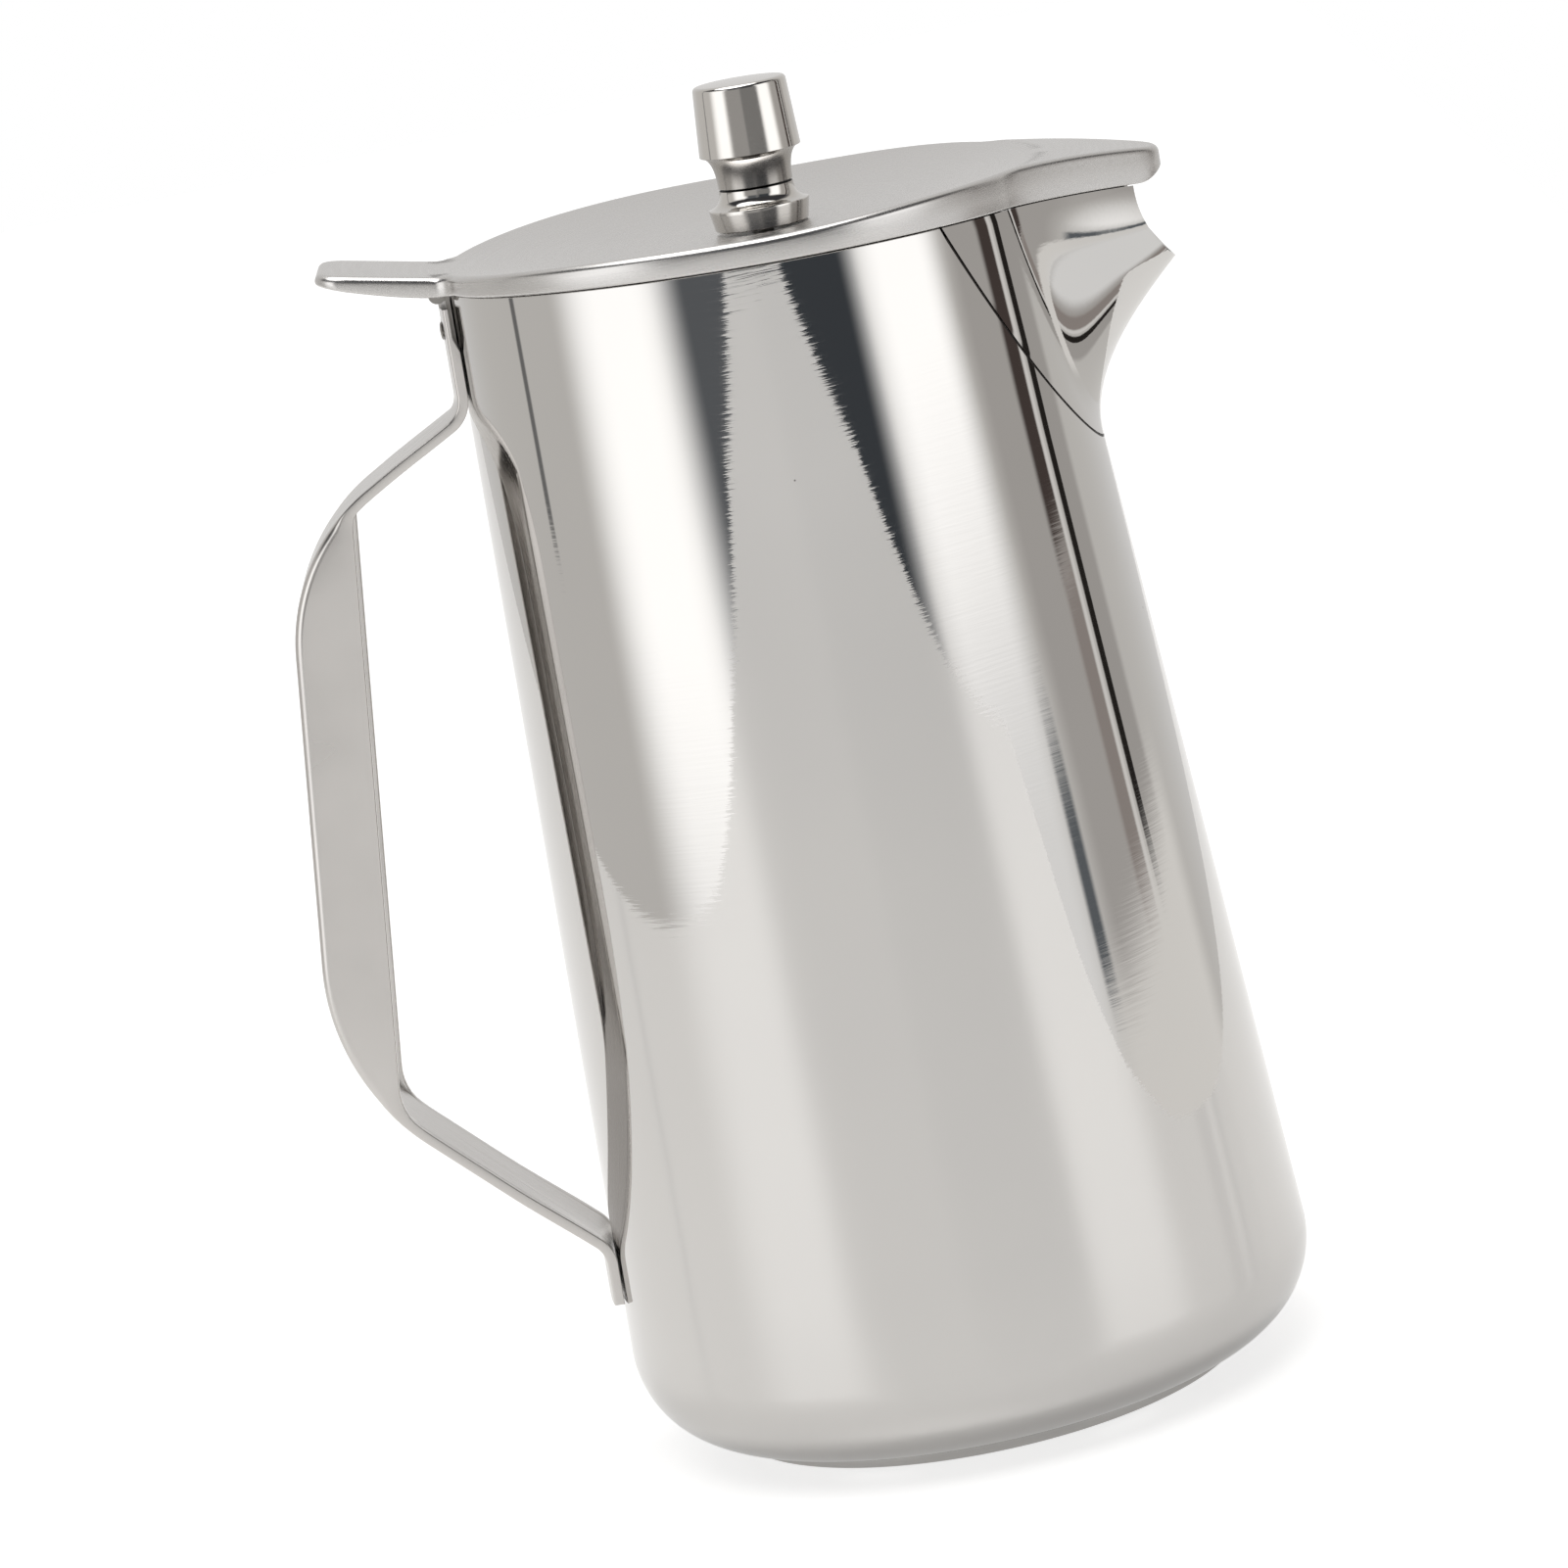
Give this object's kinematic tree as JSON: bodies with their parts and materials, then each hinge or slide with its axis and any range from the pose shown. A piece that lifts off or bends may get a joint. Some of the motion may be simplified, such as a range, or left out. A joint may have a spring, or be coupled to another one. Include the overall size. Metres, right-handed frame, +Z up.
{
  "type": "lidded water pitcher",
  "caption": "Tapered stainless steel pitcher with a welded beak spout, a strap handle and a hinged, dished lid with a thumb tab and a turned knob",
  "frame": {"origin": "centre of the base, on the surface the pitcher stands on, on the axis of the round body", "axes": "+Z up along the body's axis, +X towards the spout, the handle and the lid hinge on -X, +Y to the left of the spout; XZ is the mirror plane"},
  "size_m": [0.1753, 0.124, 0.24],
  "materials": {
    "polished_steel": "mirror polished stainless steel with faint circumferential polishing lines",
    "satin_steel": "satin stainless steel",
    "plain_steel": "plain mill-finish stainless steel"
  },
  "bodies": {
    "vessel": {"body": "polished_steel", "spout": "polished_steel", "handle": "satin_steel", "hinge_fixed_leaf": "plain_steel", "hinge_pin": "plain_steel", "hinge_rivet_left": "plain_steel", "hinge_rivet_right": "plain_steel"},
    "lid_assembly": {"lid": "satin_steel", "hinge_lid_leaf": "plain_steel", "knob_cap": "polished_steel", "knob_collar": "polished_steel", "knob_washer": "plain_steel", "knob_screw": "plain_steel"}
  },
  "joints": [
    {"name": "lid_hinge", "type": "hinge", "parent": "vessel", "child": "lid_assembly", "pos_m": [-0.0545, 0, 0.21483], "axis": [0, -1, 0], "range_deg": [0, 95]}
  ]
}
